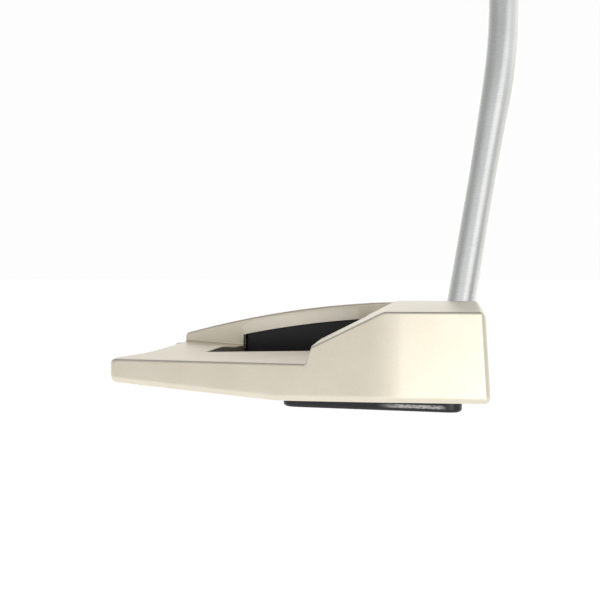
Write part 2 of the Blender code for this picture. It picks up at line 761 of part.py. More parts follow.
def main():
    clear_scene()
    champagne = make_material("champagne_anodised", (0.62, 0.57, 0.47), 0.42, 0.9)
    black = make_material("black_anodised", (0.012, 0.012, 0.013), 0.38, 0.6)
    chrome = make_material("satin_chrome", (0.66, 0.67, 0.68), 0.2, 1.0)
    screw_steel = make_material("screw_steel", (0.05, 0.05, 0.055), 0.35, 0.9)
    weight_steel = make_material("weight_steel", (0.55, 0.54, 0.52), 0.3, 1.0)
    polymer = make_material("gasket_polymer", (0.03, 0.03, 0.03), 0.8, 0.0)
    inlay = make_material("sight_inlay", (0.02, 0.02, 0.02), 0.5, 0.0)
    rubber = make_material("grip_rubber", (0.03, 0.03, 0.032), 0.75, 0.0)
    cap = make_material("cap_plastic", (0.04, 0.04, 0.045), 0.4, 0.0)
    tape = make_material("grip_tape", (0.7, 0.66, 0.55), 0.9, 0.0)
    band = make_material("band_film", (0.10, 0.10, 0.105), 0.35, 0.0)
    plug = make_material("plug_nylon", (0.75, 0.72, 0.62), 0.6, 0.0)

    build_head_body(champagne)
    build_sight_line(inlay)
    build_core(black)
    build_sole_plate(black)
    build_gasket(polymer)
    for index, (x, y) in enumerate(PLATE_SCREWS):
        length = 9.5 if index < 2 else 7.4
        build_screw("sole_screw_%d" % (index + 1), x, y, 0.0, length, screw_steel)
    for index, (x, y) in enumerate(CORE_SCREWS):
        build_screw("core_screw_%d" % (index + 1), x, y, CORE_FLOOR_BOTTOM, 9.0, screw_steel)
    for side, name in ((-1, "toe"), (1, "heel")):
        build_weight(name + "_weight", side, weight_steel)
        build_weight_ring(name + "_weight_ring", side, polymer)
    build_shaft(chrome)
    build_tip_plug(plug)
    build_sleeve("shaft_band", GRIP_LENGTH + 6.0 + BAND_LENGTH, BAND_LENGTH,
                 BUTT_R + THIN_GAP, BAND_T, band)
    build_sleeve("grip_tape", CAP_T + 4.0, GRIP_LENGTH - 20.0, BUTT_R + THIN_GAP, TAPE_T, tape)
    build_grip(rubber)
    build_grip_cap(cap)


main()
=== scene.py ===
"""Mallet putter, looks: fine meshes, procedural materials, pale studio, camera at the head.

Shapes repeat the CAD's driving dimensions, in millimetres, and are scaled to metres.
"""
import math

import bmesh
import bpy
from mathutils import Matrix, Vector


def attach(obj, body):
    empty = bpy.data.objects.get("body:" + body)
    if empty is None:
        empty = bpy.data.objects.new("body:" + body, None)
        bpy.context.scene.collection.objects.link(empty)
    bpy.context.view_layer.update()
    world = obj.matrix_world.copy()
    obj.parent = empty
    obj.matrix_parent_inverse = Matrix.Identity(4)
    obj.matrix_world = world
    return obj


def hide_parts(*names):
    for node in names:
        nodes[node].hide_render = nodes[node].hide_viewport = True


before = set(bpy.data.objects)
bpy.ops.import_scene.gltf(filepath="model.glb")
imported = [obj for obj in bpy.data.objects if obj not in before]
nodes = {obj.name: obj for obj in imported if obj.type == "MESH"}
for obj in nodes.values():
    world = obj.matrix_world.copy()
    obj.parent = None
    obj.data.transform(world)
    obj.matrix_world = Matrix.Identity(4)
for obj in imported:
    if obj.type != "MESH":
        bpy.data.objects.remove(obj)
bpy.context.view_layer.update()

MM = 0.001
GAP = 0.3
THIN_GAP = 0.12
WELD = 0.002
BELOW = -5.0                    # cutters start under the club
ABOVE = 60.0                    # and end over the head

# ---- head ----
FACE_X = 32.5
TAIL_X = -73.6
TOE_Y = 56.5
TAIL_Y = 39.5
BLOCK_REAR_X = 5.0
LOFT = math.radians(3.5)
TOP_Z = 28.7
CROWN = 1.4
SLOPE_TOP_X = 4.8
SLOPE_FOOT_X = -14.6
SLOPE_GRADE = 0.50
SLOPE_SOFT = 0.5               # softness of the crease at the slope's top
RISER_X = -16.9
DECK_Z = 14.55
DECK_GRADE = 0.0865
SOLE_Z = 2.3
SOLE_CAMBER = 2.6
SOLE_RELIEF_X = -25.0
SOLE_RELIEF = 0.0885
EDGE_TOP = 0.7
EDGE_SOLE = 1.8
EDGE_FACE = 1.6
TAIL_INSET_SHARE = 0.6
CORNER_R = 5.0
FOLD_X = -56.7
FOLD_SKEW = 0.23
FOLD_GRADE = 0.09
FOLD_HALF = 15.5
FOLD_END_X = -41.0
LEAN_START_X = 8.0             # the face's loft fades out behind this
RIDGE_EDGE = 0.8
RIDGE_FILLET = 0.45
RIDGE_HALF = 4.6
RIDGE_CREST_X = 12.5
RIDGE_CREST_Z = 30.1
RIDGE_R = 264.0
RIDGE_TAIL_X = -59.4
RIDGE_BAND = 4.9
POCKET_FRONT_X = -2.0
POCKET_HALF = 28.0
POCKET_REAR = [(-48.7, 28.0), (-45.7, 15.5), (-41.5, 4.0)]
# the first point carries the notch out through the wing's tip
NOTCH = [(-74.3, 39.6), (-65.4, 27.3), (-62.9, 18.5), (-60.0, 8.0)]
POCKET_BACK = 0.3               # the pockets' outer rear corners, further back
WALL_SHAVE = 0.02               # taken off the ridge's side where a pocket meets it
POCKET_CORNER = 2.5
ARCH_EDGE = 0.25                # bevel along the arch's mouth
CUT_ROUND = 0.5                # rounding where a pocket or the notch meets the top

SIGHT_FRONT_X = -2.0
SIGHT_REAR_X = -54.0
SIGHT_HALF = 0.75
SIGHT_DEPTH = 0.8

# ---- core ----
CORE_HALF = 4.4
CORE_TAIL_X = -41.2
CORE_TAIL_R = 2.4
CORE_EDGE = 0.12
CORE_TUCK = 0.06               # the core nearly touches the ridge above it
CORE_FLOOR_BOTTOM = 4.5
CORE_FLOOR_TOP = 8.5
LUG_FRONT_X = 10.0
LUG_HALF = 18.0
LUG_TOP = 7.4

# ---- sole ----
PLATE_FRONT_X = 25.3
PLATE_REAR_X = -26.6
PLATE_FRONT_HALF = 35.5
PLATE_REAR_HALF = 25.5
PLATE_CORNER = 5.0
PLATE_T = 2.9
PLATE_EDGE = 1.0
GASKET_GAP = 0.15
GASKET_T = 0.7
PLATE_SCREWS = [(18.0, 27.0), (18.0, -27.0), (-20.0, 18.5), (-20.0, -18.5)]
CORE_SCREWS = [(5.0, 12.0), (5.0, -12.0)]
SCREW_HEAD_R = 2.7
SCREW_SHANK_R = 1.45
SCREW_HEAD_H = 1.5
WEIGHT_X = 12.0
WEIGHT_Y = 45.5
WEIGHT_R = 6.0
WEIGHT_H = 6.0

# ---- shaft and grip ----
LIE = math.radians(70.0)
ENTRY = Vector((25.2, 20.0, 29.6))
LOWER_LEAN = 0.1695
BEND_Z = 117.0
BEND_REACH = 20.0
BORE_DEPTH = 19.0
TIP_R = 4.7
SHAFT_WALL = 0.5
SWELL_START = 60.0
SWELL_END = 105.0
SWELL = 0.75
CLUB_LENGTH = 864.0
GRIP_LENGTH = 267.0
BUTT_R = 7.62
STEP_COUNT = 8
STEP_FIRST = 190.0
STEP_PITCH = 42.0
STEP_RUN = 0.8                  # length over which a step widens
SHAFT_SEGMENTS = 72
BAND_LENGTH = 55.0
BAND_T = 0.25
CAP_T = 3.2
GRIP_BORE_R = BUTT_R + 0.9
GRIP_HALF_X = 10.2
GRIP_HALF_X_GAIN = 2.9
GRIP_PALM = 10.4
GRIP_PALM_GAIN = 3.0
GRIP_BULGE = 3.6
GRIP_BULGE_AT = 0.80
GRIP_BULGE_WIDTH = 0.15
GRIP_FLAT = 9.9
GRIP_FLAT_GAIN = 2.2
VENT_R = 1.0


# ---------------------------------------------------------------- node materials

class Graph:
    """Short helpers to wire a material's or the world's nodes."""

    def __init__(self, tree):
        self.nodes = tree.nodes
        self.links = tree.links

    def add(self, kind, **settings):
        node = self.nodes.new(kind)
        for key, value in settings.items():
            setattr(node, key, value)
        return node

    def plug(self, socket, value):
        if hasattr(value, "is_output"):
            self.links.new(value, socket)
        else:
            socket.default_value = value

    def math(self, operation, a, b=None):
        node = self.add("ShaderNodeMath", operation=operation)
        for socket, value in zip(node.inputs, (a, b)):
            if value is not None:
                self.plug(socket, value)
        return node.outputs[0]

    def ramp(self, value, low, high, out_low=0.0, out_high=1.0, smooth=True):
        node = self.add("ShaderNodeMapRange")
        node.interpolation_type = "SMOOTHSTEP" if smooth else "LINEAR"
        self.plug(node.inputs["Value"], value)
        self.plug(node.inputs["From Min"], low)
        self.plug(node.inputs["From Max"], high)
        self.plug(node.inputs["To Min"], out_low)
        self.plug(node.inputs["To Max"], out_high)
        return node.outputs["Result"]

    def mix(self, share, a, b):
        node = self.add("ShaderNodeMix", data_type="RGBA")
        for index, value in ((0, share), (6, a), (7, b)):
            self.plug(node.inputs[index], value)
        return node.outputs[2]

    def place(self, scale=(1.0, 1.0, 1.0), turn=(0.0, 0.0, 0.0)):
        coords = self.add("ShaderNodeTexCoord")
        mapping = self.add("ShaderNodeMapping")
        mapping.inputs["Scale"].default_value = scale
        mapping.inputs["Rotation"].default_value = turn
        self.links.new(coords.outputs["Object"], mapping.inputs["Vector"])
        return mapping.outputs["Vector"]

    def noise(self, vector, scale, detail=3.0, rough=0.55):
        node = self.add("ShaderNodeTexNoise")
        self.links.new(vector, node.inputs["Vector"])
        node.inputs["Scale"].default_value = scale
        node.inputs["Detail"].default_value = detail
        node.inputs["Roughness"].default_value = rough
        return node.outputs[0]

    def bump(self, height, distance, strength=1.0, under=None):
        node = self.add("ShaderNodeBump")
        self.links.new(height, node.inputs["Height"])
        node.inputs["Distance"].default_value = distance
        node.inputs["Strength"].default_value = strength
        if under is not None:
            self.links.new(under, node.inputs["Normal"])
        return node.outputs[0]


def start_material(name):
    material = bpy.data.materials.new(name)
    material.use_nodes = True
    graph = Graph(material.node_tree)
    shader = graph.nodes["Principled BSDF"]
    return material, graph, shader


def rgb(r, g, b):
    return (r, g, b, 1.0)


def blasted_metal():
    """Champagne metal, fine bead blast, milled rings on the hitting face only."""
    material, g, shader = start_material("look_head_metal")
    place = g.place()
    grain = g.noise(place, 5200.0, 2.0, 0.6)
    patch = g.noise(place, 90.0, 3.0, 0.5)
    speck = g.ramp(g.noise(place, 2600.0, 2.0, 0.7), 0.60, 0.76)
    pale = rgb(0.825, 0.770, 0.640)
    warm = rgb(0.800, 0.742, 0.608)
    colour = g.mix(g.ramp(patch, 0.30, 0.70), pale, warm)
    colour = g.mix(g.math("MULTIPLY", speck, 0.45), colour, rgb(0.56, 0.50, 0.40))
    glint = g.ramp(g.noise(place, 3900.0, 1.0, 0.5), 0.64, 0.74)
    colour = g.mix(g.math("MULTIPLY", glint, 0.5), colour, rgb(0.95, 0.92, 0.84))
    geometry = g.add("ShaderNodeNewGeometry")
    worn = g.ramp(geometry.outputs["Pointiness"], 0.53, 0.60)
    colour = g.mix(g.math("MULTIPLY", worn, 0.25), colour, rgb(0.90, 0.87, 0.80))
    g.plug(shader.inputs["Base Color"], colour)
    shader.inputs["Metallic"].default_value = 1.0
    rough = g.ramp(grain, 0.25, 0.75, 0.36, 0.47, smooth=False)
    rough = g.math("SUBTRACT", rough, g.math("MULTIPLY", worn, 0.08))
    g.plug(shader.inputs["Roughness"], rough)
    normal = g.bump(grain, 0.00002, 0.55)
    split = g.add("ShaderNodeSeparateXYZ")
    coords = g.add("ShaderNodeTexCoord")
    g.links.new(coords.outputs["Object"], split.inputs[0])
    facing = g.add("ShaderNodeSeparateXYZ")
    g.links.new(geometry.outputs["True Normal"], facing.inputs[0])
    on_face = g.ramp(facing.outputs["X"], 0.990, 0.996)
    reach = g.math("POWER", split.outputs["Y"], 2.0)
    high = g.math("POWER", g.math("SUBTRACT", split.outputs["Z"], 0.062), 2.0)
    radius = g.math("SQRT", g.math("ADD", reach, high))
    rings = g.math("SINE", g.math("MULTIPLY", radius, 2 * math.pi / 0.0011))
    cut = g.math("MULTIPLY", rings, on_face)
    normal = g.bump(cut, 0.00005, 0.8, normal)
    g.plug(shader.inputs["Normal"], normal)
    return material


def black_metal():
    """Black anodised metal: tool marks, specks, and a painted highlight, a broken bright streak on
    the plate's sides that stands in for the reflection on its edge.
    """
    material, g, shader = start_material("look_black_metal")
    place = g.place()
    grain = g.noise(place, 3800.0, 2.0, 0.6)
    patch = g.noise(place, 120.0, 3.0, 0.5)
    tool = g.noise(g.place((1.0, 14.0, 14.0)), 260.0, 2.0, 0.5)
    colour = g.mix(patch, rgb(0.018, 0.018, 0.020), rgb(0.031, 0.031, 0.034))
    fleck = g.ramp(grain, 0.66, 0.80)
    colour = g.mix(g.math("MULTIPLY", fleck, 0.4), colour, rgb(0.09, 0.09, 0.095))
    geometry = g.add("ShaderNodeNewGeometry")
    worn = g.ramp(geometry.outputs["Pointiness"], 0.54, 0.62)
    colour = g.mix(g.math("MULTIPLY", worn, 0.3), colour, rgb(0.17, 0.17, 0.175))
    split = g.add("ShaderNodeSeparateXYZ")
    g.links.new(place, split.inputs[0])
    along, across_y, up = split.outputs
    # painted highlight: a broken bright streak low on the plate's toe and heel sides, coloured in
    # place of the reflection on the edge
    painted_highlight = g.math("MULTIPLY", g.ramp(along, 0.001, 0.009),
                    g.ramp(along, 0.0185, 0.0215, 1.0, 0.0))
    painted_highlight = g.math("MULTIPLY", painted_highlight, g.ramp(g.math("ABSOLUTE", across_y), 0.0295, 0.0305))
    painted_highlight = g.math("MULTIPLY", painted_highlight, g.ramp(up, 0.00085, 0.0011))
    painted_highlight = g.math("MULTIPLY", painted_highlight, g.ramp(up, 0.0018, 0.0021, 1.0, 0.0))
    broken = g.ramp(g.noise(g.place((1.0, 1.0, 5.0)), 900.0, 2.0, 0.6), 0.38, 0.52, 0.25, 1.0)
    painted_highlight = g.math("MULTIPLY", painted_highlight, broken)
    colour = g.mix(g.math("MULTIPLY", painted_highlight, 0.8), colour, rgb(0.62, 0.61, 0.60))
    g.plug(shader.inputs["Base Color"], colour)
    shader.inputs["Metallic"].default_value = 0.55
    g.plug(shader.inputs["Roughness"], g.ramp(tool, 0.3, 0.7, 0.27, 0.40, smooth=False))
    normal = g.bump(grain, 0.000015, 0.5)
    g.plug(shader.inputs["Normal"], g.bump(tool, 0.00001, 0.5, normal))
    return material


def plated_steel():
    """Shaft: satin chrome with hairlines round the tube and a few faint lengthwise scuffs."""
    material, g, shader = start_material("look_shaft_metal")
    hair = g.noise(g.place((1.0, 1.0, 40.0)), 160.0, 2.0, 0.6)
    scuff = g.noise(g.place((60.0, 60.0, 1.0)), 30.0, 3.0, 0.6)
    cloud = g.noise(g.place(), 60.0, 2.0, 0.5)
    colour = g.mix(g.ramp(cloud, 0.3, 0.7), rgb(0.86, 0.865, 0.85), rgb(0.81, 0.815, 0.80))
    colour = g.mix(g.math("MULTIPLY", g.ramp(hair, 0.60, 0.75), 0.25), colour,
                   rgb(0.58, 0.58, 0.59))
    g.plug(shader.inputs["Base Color"], colour)
    shader.inputs["Metallic"].default_value = 1.0
    rough = g.math("ADD", g.ramp(hair, 0.3, 0.7, 0.22, 0.30, smooth=False),
                   g.ramp(scuff, 0.55, 0.8, 0.0, 0.06))
    g.plug(shader.inputs["Roughness"], rough)
    normal = g.bump(hair, 0.000006, 0.5)
    g.plug(shader.inputs["Normal"], g.bump(scuff, 0.000006, 0.3, normal))
    return material


def turned_steel(name, dark):
    """Machined steel with a fine grain, worn brighter along its edges."""
    material, g, shader = start_material(name)
    place = g.place()
    grain = g.noise(place, 4200.0, 2.0, 0.6)
    patch = g.noise(place, 420.0, 3.0, 0.5)
    if dark:
        colour = g.mix(patch, rgb(0.045, 0.045, 0.05), rgb(0.085, 0.083, 0.085))
        edge = rgb(0.30, 0.30, 0.31)
    else:
        colour = g.mix(patch, rgb(0.62, 0.61, 0.585), rgb(0.52, 0.51, 0.49))
        edge = rgb(0.78, 0.77, 0.75)
    geometry = g.add("ShaderNodeNewGeometry")
    worn = g.ramp(geometry.outputs["Pointiness"], 0.53, 0.60)
    colour = g.mix(g.math("MULTIPLY", worn, 0.5), colour, edge)
    g.plug(shader.inputs["Base Color"], colour)
    shader.inputs["Metallic"].default_value = 1.0
    g.plug(shader.inputs["Roughness"], g.ramp(grain, 0.25, 0.75, 0.24, 0.38, smooth=False))
    g.plug(shader.inputs["Normal"], g.bump(grain, 0.00001, 0.5))
    return material


def moulded(name, dark, light, rough_low, rough_high, grain_scale, depth):
    """Rubber, plastic or film: mottled colour, varying sheen and a moulded grain."""
    material, g, shader = start_material(name)
    place = g.place()
    grain = g.noise(place, grain_scale, 3.0, 0.6)
    patch = g.noise(place, 110.0, 3.0, 0.55)
    colour = g.mix(g.ramp(patch, 0.3, 0.7), rgb(*dark), rgb(*light))
    dust = g.ramp(g.noise(place, 1500.0, 2.0, 0.7), 0.66, 0.82)
    colour = g.mix(g.math("MULTIPLY", dust, 0.2), colour, rgb(0.4, 0.4, 0.39))
    g.plug(shader.inputs["Base Color"], colour)
    g.plug(shader.inputs["Roughness"],
           g.ramp(patch, 0.3, 0.7, rough_low, rough_high, smooth=False))
    g.plug(shader.inputs["Normal"], g.bump(grain, depth, 0.6))
    return material


def woven_tape():
    """Crepe paper tape: fine crossing ribs."""
    material, g, shader = start_material("look_tape")
    ribs = g.noise(g.place((1.0, 1.0, 9.0)), 700.0, 2.0, 0.5)
    patch = g.noise(g.place(), 140.0, 3.0, 0.5)
    colour = g.mix(patch, rgb(0.78, 0.72, 0.58), rgb(0.66, 0.60, 0.46))
    g.plug(shader.inputs["Base Color"], colour)
    g.plug(shader.inputs["Roughness"], g.ramp(ribs, 0.3, 0.7, 0.8, 0.95, smooth=False))
    g.plug(shader.inputs["Normal"], g.bump(ribs, 0.00005, 0.7))
    return material


# ---------------------------------------------------------------- mesh helpers

def add_object(name, bm, material=None):
    bmesh.ops.scale(bm, vec=(MM, MM, MM), verts=bm.verts)
    bmesh.ops.recalc_face_normals(bm, faces=bm.faces)
    mesh = bpy.data.meshes.new(name)
    bm.to_mesh(mesh)
    bm.free()
    item = bpy.data.objects.new(name, mesh)
    bpy.context.collection.objects.link(item)
    if material is not None:
        mesh.materials.append(material)
    return item


def carve(item, cutters, unions=()):
    """Apply exact booleans, then remove the tools."""
    for operation, tools in (("UNION", unions), ("DIFFERENCE", cutters)):
        for tool in tools:
            modifier = item.modifiers.new(tool.name, "BOOLEAN")
            modifier.operation = operation
            modifier.solver = "EXACT"
            modifier.object = tool
    freeze(item)
    for tool in list(cutters) + list(unions):
        bpy.data.objects.remove(tool, do_unlink=True)


def freeze(item):
    """Swap the object's mesh for the result of its modifiers."""
    bpy.context.view_layer.update()
    view = bpy.context.evaluated_depsgraph_get()
    result = bpy.data.meshes.new_from_object(item.evaluated_get(view))
    old = item.data
    item.modifiers.clear()
    item.data = result
    bpy.data.meshes.remove(old)


def smooth(item, angle):
    item.data.shade_smooth()
    item.data.set_sharp_from_angle(angle=math.radians(angle))
    modifier = item.modifiers.new("even_normals", "WEIGHTED_NORMAL")
    modifier.keep_sharp = True
    modifier.weight = 100


def finish_piece(item, node, angle=30.0):
    smooth(item, angle)
    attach(item, "root")
    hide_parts(node)


def loft(rings):
    bm = bmesh.new()
    loops = [[bm.verts.new(point) for point in ring] for ring in rings]
    count = len(rings[0])
    for low, high in zip(loops, loops[1:]):
        for i in range(count):
            j = (i + 1) % count
            bm.faces.new((low[i], low[j], high[j], high[i]))
    bm.faces.new(list(reversed(loops[0])))
    bm.faces.new(loops[-1])
    return bm


def hollow(rings):
    """Rings that close on themselves: an outer skin followed by an inner one."""
    bm = bmesh.new()
    loops = [[bm.verts.new(point) for point in ring] for ring in rings]
    count = len(rings[0])
    for k in range(len(loops)):
        low = loops[k]
        high = loops[(k + 1) % len(loops)]
        for i in range(count):
            j = (i + 1) % count
            bm.faces.new((low[i], low[j], high[j], high[i]))
    return bm


def clean(bm):
    bmesh.ops.remove_doubles(bm, verts=bm.verts, dist=WELD)
    bmesh.ops.dissolve_degenerate(bm, edges=bm.edges, dist=WELD)
    return bm


def prism(outline, z_low, z_high):
    return loft([[(x, y, z) for x, y in outline] for z in (z_low, z_high)])


def corner_arc(before, corner, after, reach, segments=10):
    here = Vector(corner)
    start = here + (Vector(before) - here).normalized() * reach
    end = here + (Vector(after) - here).normalized() * reach
    arc = []
    for step in range(segments + 1):
        t = step / segments
        point = start * (1 - t) ** 2 + here * 2 * t * (1 - t) + end * t ** 2
        arc.append((point.x, point.y))
    return arc


def rounded_outline(corners, reach):
    points = []
    count = len(corners)
    for i, corner in enumerate(corners):
        points += corner_arc(corners[i - 1], corner, corners[(i + 1) % count], reach)
    return points


def mirrored(points):
    return points + [(x, -y) for x, y in reversed(points)]


def densify(points, pitch):
    """Split a closed outline's long runs, so that a cutter can follow the curved top."""
    out = []
    for i, start in enumerate(points):
        a = Vector(start)
        b = Vector(points[(i + 1) % len(points)])
        parts = max(1, int((b - a).length / pitch))
        for k in range(parts):
            point = a.lerp(b, k / parts)
            out.append((point.x, point.y))
    return out


def grown(points, amount):
    """Offset a closed outline outwards."""
    area = 0.0
    count = len(points)
    for i in range(count):
        x0, y0 = points[i]
        x1, y1 = points[(i + 1) % count]
        area += x0 * y1 - x1 * y0
    sign = 1.0 if area > 0 else -1.0
    out = []
    for i in range(count):
        before = Vector(points[i]) - Vector(points[i - 1])
        after = Vector(points[(i + 1) % count]) - Vector(points[i])
        run = before.normalized() + after.normalized()
        run.normalize()
        normal = Vector((run.y, -run.x)) * sign
        stretch = 1.0 / max(0.5, normal.dot(Vector((after.y, -after.x)).normalized() * sign))
        out.append((points[i][0] + normal.x * amount * stretch,
                    points[i][1] + normal.y * amount * stretch))
    return out


def turned(profile, centre, axis=Vector((0, 0, 1)), segments=64):
    turn = Vector((0, 0, 1)).rotation_difference(axis)
    rings = []
    for radius, height in profile:
        ring = []
        for i in range(segments):
            angle = 2 * math.pi * i / segments
            spoke = Vector((radius * math.cos(angle), radius * math.sin(angle), height))
            ring.append(centre + turn @ spoke)
        rings.append(ring)
    return loft(rings)


# ---------------------------------------------------------------- head surfaces

def crown(y):
    return CROWN * (1.0 - (y / TOE_Y) ** 2)


def half_width(x):
    sweep = (TOE_Y - TAIL_Y) / (BLOCK_REAR_X - TAIL_X)
    straight = TOE_Y - sweep * max(0.0, BLOCK_REAR_X - x)
    if abs(x - BLOCK_REAR_X) < CORNER_R:
        t = (BLOCK_REAR_X + CORNER_R - x) / (2 * CORNER_R)
        straight = TOE_Y - sweep * CORNER_R * t * t
    return straight


def ridge_top(x):
    reach = RIDGE_CREST_X - x
    return RIDGE_CREST_Z - reach * reach / (2 * RIDGE_R)


def deck(x, y):
    along = Vector((BLOCK_REAR_X - TAIL_X, TOE_Y - TAIL_Y)).normalized()
    inward = Vector((along.y, -along.x))
    distance = Vector((x - TAIL_X, abs(y) - TAIL_Y)).dot(inward)
    height = DECK_Z + DECK_GRADE * distance
    fold_x = FOLD_X + (abs(y) - 2 * RIDGE_HALF) * FOLD_SKEW
    if abs(y) < FOLD_HALF and fold_x < x < FOLD_END_X:
        share = min(1.0, (FOLD_HALF - abs(y)) / (FOLD_HALF - 2 * RIDGE_HALF))
        height -= FOLD_GRADE * share * (x - fold_x)
    return height


def slope(x, y):
    rise = x - SLOPE_TOP_X
    rise = 0.5 * (rise - math.sqrt(rise * rise + SLOPE_SOFT * SLOPE_SOFT))
    return TOP_Z + crown(y) + SLOPE_GRADE * rise


def top(x, y):
    if x >= SLOPE_FOOT_X:
        return slope(x, y)
    if x <= RISER_X:
        return deck(x, y)
    t = (x - RISER_X) / (SLOPE_FOOT_X - RISER_X)
    t = t * t * (1.6 - 0.6 * t)
    return deck(RISER_X, y) * (1 - t) + slope(SLOPE_FOOT_X, y) * t


def sole(x, y):
    relief = SOLE_RELIEF * max(0.0, SOLE_RELIEF_X - x)
    return SOLE_Z + SOLE_CAMBER * (y / TOE_Y) ** 2 + relief


def lean(x, z):
    share = min(1.0, max(0.0, (x - LEAN_START_X) / (FACE_X - LEAN_START_X)))
    return x - share * (z - SOLE_Z - SOLE_CAMBER) * math.tan(LOFT)


def ridge_height(x):
    tail = RIDGE_TAIL_X - 0.5
    if not tail < x < SLOPE_TOP_X + 1.0:
        return 0.0
    height = max(0.0, ridge_top(x) - top(x, RIDGE_HALF))
    t = min(1.0, (x - tail) / 0.9)
    return height * math.sqrt(max(0.0, 1.0 - (1.0 - t) ** 2))


def body_section(x, inset):
    """Half section at +Y, from the middle of the sole round to the middle of the top."""
    wide = half_width(x) - inset
    points = []
    for step in range(14):
        y = step / 14 * (wide - EDGE_SOLE)
        points.append((y, sole(x, y) + inset))
    for step in range(11):
        angle = math.radians(9.0 * step)
        y = wide - EDGE_SOLE + EDGE_SOLE * math.sin(angle)
        z = sole(x, wide) + inset + EDGE_SOLE * (1 - math.cos(angle))
        points.append((y, z))
    low = points[-1][1]
    high = top(x, wide) - inset - EDGE_TOP
    for step in (1, 2, 3):
        points.append((wide, low + (high - low) * step / 4))
    for step in range(10):
        angle = math.radians(10.0 * step)
        y = wide - EDGE_TOP + EDGE_TOP * math.cos(angle)
        z = top(x, wide) - inset - EDGE_TOP * (1 - math.sin(angle))
        points.append((y, z))
    inner = RIDGE_HALF + RIDGE_FILLET
    for step in range(1, 22):
        share = 1.0 - step / 22
        y = inner + share * (wide - EDGE_TOP - inner)
        points.append((y, top(x, y) - inset))
    height = ridge_height(x)
    fillet = min(RIDGE_FILLET, height / 3)
    edge = min(RIDGE_EDGE, height / 2)
    foot = top(x, RIDGE_HALF) - inset
    for step in range(5):
        angle = math.radians(22.5 * step)
        points.append((inner - RIDGE_FILLET * math.sin(angle),
                       foot + fillet * (1 - math.cos(angle))))
    crest = foot + height
    points.append((RIDGE_HALF, foot + fillet + 0.5 * (height - fillet - edge)))
    for step in range(7):
        angle = math.radians(15.0 * step)
        points.append((RIDGE_HALF - RIDGE_EDGE * (1 - math.cos(angle)),
                       crest - edge * (1 - math.sin(angle))))
    for share in (0.75, 0.5, 0.25, 0.0):
        points.append(((RIDGE_HALF - RIDGE_EDGE) * share, crest))
    return points


def full_section(x, inset):
    half = body_section(x, inset)
    left = [(-y, z) for y, z in reversed(half[1:-1])]
    return [Vector((lean(x, z), y, z)) for y, z in half + left]


def stations():
    """(x, inset) pairs from tail to face, closest where the shape turns."""
    marks = []
    for step in range(9):
        angle = math.radians(11.25 * (8 - step))
        marks.append((TAIL_X + EDGE_SOLE * (1 - math.sin(angle)),
                      EDGE_SOLE * (1 - math.cos(angle)) * TAIL_INSET_SHARE))
    plain = []
    spans = [(-71.2, -60.2, 1.1), (-60.0, -58.8, 0.1), (-58.4, -17.4, 1.2), (-17.0, -14.4, 0.2),
             (-14.0, -1.0, 1.2), (-0.4, 11.0, 0.5), (12.0, 30.4, 1.4)]
    for low, high, pitch in spans:
        count = int(round((high - low) / pitch))
        for k in range(count + 1):
            plain.append(low + (high - low) * k / count)
    marks += [(x, 0.0) for x in plain]
    for step in range(9):
        angle = math.radians(11.25 * step)
        marks.append((FACE_X - EDGE_FACE * (1 - math.sin(angle)),
                      EDGE_FACE * (1 - math.cos(angle))))
    return marks


def flared(outline, fixed, surface, low):
    """Cutter with upright walls whose mouth opens in a rounding that follows a surface."""
    rings = [[(x, y, low) for x, y in outline]]
    for step in range(6):
        angle = math.radians(16.0 * step)
        wider = grown(outline, CUT_ROUND * (1 - math.cos(angle)))
        ring = []
        for (x0, y0), (x, y) in zip(outline, wider):
            if fixed(x0, y0):
                y = y0
            ring.append((x, y, surface(x, y) - CUT_ROUND * (1 - math.sin(angle))))
        rings.append(ring)
    rings.append([(x, y, ABOVE) for x, y, _ in rings[-1]])
    return loft(rings)


def pocket_outline(side, inset=0.0, inner=RIDGE_HALF + 0.05, back=0.0):
    corners = [(POCKET_FRONT_X - inset, inner), (POCKET_FRONT_X - inset, POCKET_HALF - inset)]
    corners += [(x + inset - back, y - inset) for x, y in POCKET_REAR[:2]]
    corners.append((POCKET_REAR[2][0] + inset, inner))
    outline = []
    count = len(corners)
    for i, corner in enumerate(corners):
        if i in (1, 2):
            outline += corner_arc(corners[i - 1], corner, corners[(i + 1) % count],
                                  POCKET_CORNER)
        else:
            outline.append(corner)
    return [(x, side * y) for x, y in outline]


def plate_outline(grow=0.0):
    corners = [(PLATE_FRONT_X + grow, PLATE_FRONT_HALF + grow),
               (PLATE_REAR_X - grow, PLATE_REAR_HALF + grow),
               (PLATE_REAR_X - grow, -PLATE_REAR_HALF - grow),
               (PLATE_FRONT_X + grow, -PLATE_FRONT_HALF - grow)]
    return rounded_outline(corners, PLATE_CORNER + grow)


def shaft_axis():
    return Vector((LOWER_LEAN, 1.0 / math.tan(LIE), 1.0)).normalized()


def across(profile, heights):
    """Extrude an (x, z) outline through several (y, lift) sections; only its roof lifts."""
    rings = []
    for y, lift in heights:
        rings.append([(x, y, z + (lift if z > 0 else 0.0)) for x, z in profile])
    return loft(rings)


def sight_profile():
    upper = []
    lower = []
    for step in range(40):
        x = SIGHT_FRONT_X + THIN_GAP + (SIGHT_REAR_X - SIGHT_FRONT_X - 2 * THIN_GAP) * step / 39
        crest = ridge_top(x)
        upper.append((x, crest + 0.5))
        lower.append((x, crest - SIGHT_DEPTH - THIN_GAP))
    return upper + list(reversed(lower))


def weight_base():
    return sole(WEIGHT_X, WEIGHT_Y + WEIGHT_R) + 0.1


